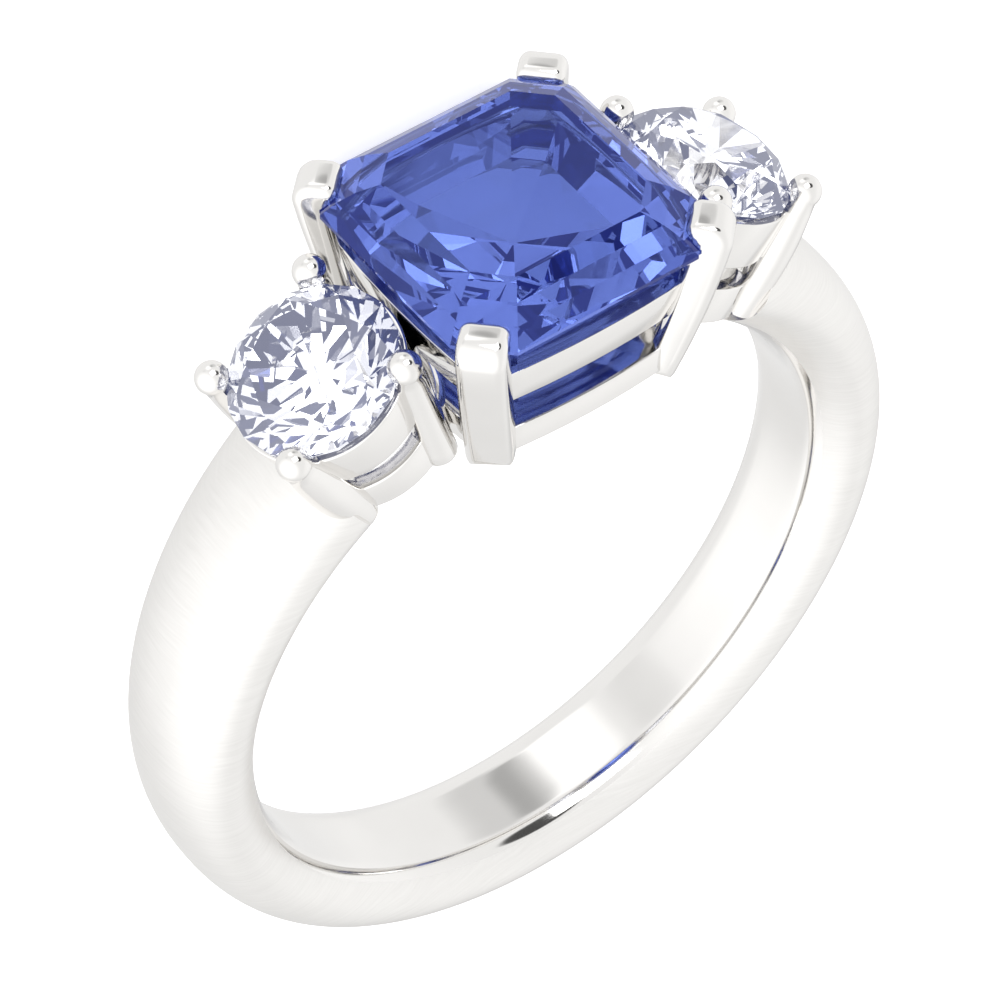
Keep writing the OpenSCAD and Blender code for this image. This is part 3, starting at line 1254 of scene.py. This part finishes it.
@dataclass
class Studio:
    """Camera, floor and light."""

    place: Point = (-43.810, -59.814, 85.996)
    right: Point = (0.80648, -0.59125, -0.00461)
    down: Point = (-0.44383, -0.60021, -0.66540)
    focal: float = 4616.0
    picture: float = 1000.0
    sensor: float = 36.0
    clip: tuple[float, float] = (0.001, 10.0)
    floor_size: float = 3.0
    sky: float = 1.05
    patch_scale: float = 2.6
    patch_low: float = 0.485
    patch_high: float = 0.53
    stones_light: Colour = (1.15, 1.15, 1.15, 1)
    stones_dark: Colour = (0.058, 0.066, 0.125, 1)
    box_place: Point = (0.04, 0.84, 0.33)
    box_aim: Point = (0.0, 0.0, 0.003)
    box_size: tuple[float, float] = (0.5, 0.42)
    box_power: float = 2.2
    windows: tuple[Patch, ...] = (
        Patch((-0.9, 0.0, 0.35), 0.2, 0.9, 0.38),
        Patch((0.9, -0.4, 0.2), 0.5, 0.95, 0.1),
        Patch((0.04, 0.91, -0.41), 0.95, 0.985, 0.3),
    )
    cards: tuple[Patch, ...] = (
        Patch((0.38, 0.795, 0.47), 0.958, 0.975, 0.92),
        Patch((0.33, 0.855, -0.41), 0.984, 0.998, 0.38),
        Patch((0.5, 0.76, -0.41), 0.95, 0.998, 0.25),
        Patch((-0.46, 0.79, -0.41), 0.978, 0.999, 0.1),
        Patch((0.25, -0.85, -0.45), 0.4, 0.9, 0.12),
        Patch((0.42, -0.86, -0.3), 0.9, 0.985, 0.3),
    )

    def camera(self) -> bpy.types.Object:
        """The camera, at the photograph's angle to the ring."""
        data = bpy.data.cameras.new("camera")
        data.sensor_fit = "HORIZONTAL"
        data.sensor_width = self.sensor
        data.lens = self.sensor * self.focal / self.picture
        data.clip_start, data.clip_end = self.clip
        camera = bpy.data.objects.new("camera", data)
        bpy.context.scene.collection.objects.link(camera)
        right = Vector(self.right).normalized()
        up = -Vector(self.down)
        up = (up - right * up.dot(right)).normalized()
        axes = Matrix((right, up, right.cross(up))).transposed().to_4x4()
        spot = POSE.matrix() @ Vector(self.place)
        camera.matrix_world = Matrix.Translation(spot) @ POSE.turn() @ axes
        bpy.context.scene.camera = camera
        return camera

    def floor(self, finishes: Finishes) -> bpy.types.Object:
        """The plain floor, which the metal doesn't reflect."""
        deselect()
        bpy.ops.mesh.primitive_plane_add(size=self.floor_size)
        floor = bpy.context.object
        floor.name = "floor"
        floor.data.materials.append(finishes.floor)
        floor.visible_glossy = False
        return floor

    def soft_box(self) -> None:
        """The soft light, above the stones' side of the ring."""
        data = bpy.data.lights.new("soft_box", "AREA")
        data.shape = "RECTANGLE"
        data.size, data.size_y = self.box_size
        data.energy = self.box_power
        light = bpy.data.objects.new("soft_box", data)
        light.location = self.box_place
        aim = Vector(self.box_aim) - Vector(self.box_place)
        light.rotation_euler = aim.to_track_quat("-Z", "Y").to_euler()
        bpy.context.scene.collection.objects.link(light)

    def sky_light(self) -> None:
        """White surroundings with lighter and darker patches.

        The metal reflects the windows and the cards, and the stones see cloudy patches.
        """
        world = bpy.data.worlds.new("studio")
        s = Shade(world)
        way = s.node("ShaderNodeTexCoord", out="Generated")
        first, *others = self.windows
        metal = first.seen(s, way) + 1
        for window in others:
            metal = metal + window.seen(s, way)
        for card in self.cards:
            metal = metal * (1 - card.seen(s, way))
        cloud = s.noise(way, self.patch_scale, 1)
        dark = s.ramp(cloud, self.patch_low, self.patch_high)
        stones = s.mix(dark, self.stones_light, self.stones_dark)
        through = s.node("ShaderNodeLightPath", out="Is Transmission Ray")
        grey = s.node("ShaderNodeCombineXYZ", {}, {0: metal, 1: metal, 2: metal})
        seen = s.mix(through, grey, stones)
        back = s.node("ShaderNodeBackground", {}, {"Color": seen, "Strength": self.sky})
        end = s.tree.nodes.new("ShaderNodeOutputWorld")
        s.tree.links.new(back.socket, end.inputs["Surface"])
        bpy.context.scene.world = world

    def build(self, finishes: Finishes) -> None:
        """Sets up camera, floor and light."""
        self.camera()
        self.floor(finishes)
        self.sky_light()
        self.soft_box()
        view = bpy.context.scene.view_settings
        view.view_transform = "Standard"


def main() -> None:
    """Builds the ring's looks and the studio, in order."""
    logging.basicConfig(level=logging.INFO, format="%(message)s")
    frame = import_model()
    finishes = Finishes()
    Studio().build(finishes)
    rooms = StoneRoom()
    Band().build(finishes)
    CentreBasket().build(finishes, rooms.centre())
    for side in Side:
        SideBasket(side).build(finishes, rooms.side(side))
    rooms.clear()
    Stones().build(finishes, frame["nodes"])
    deselect()


if __name__ == "__main__":
    main()
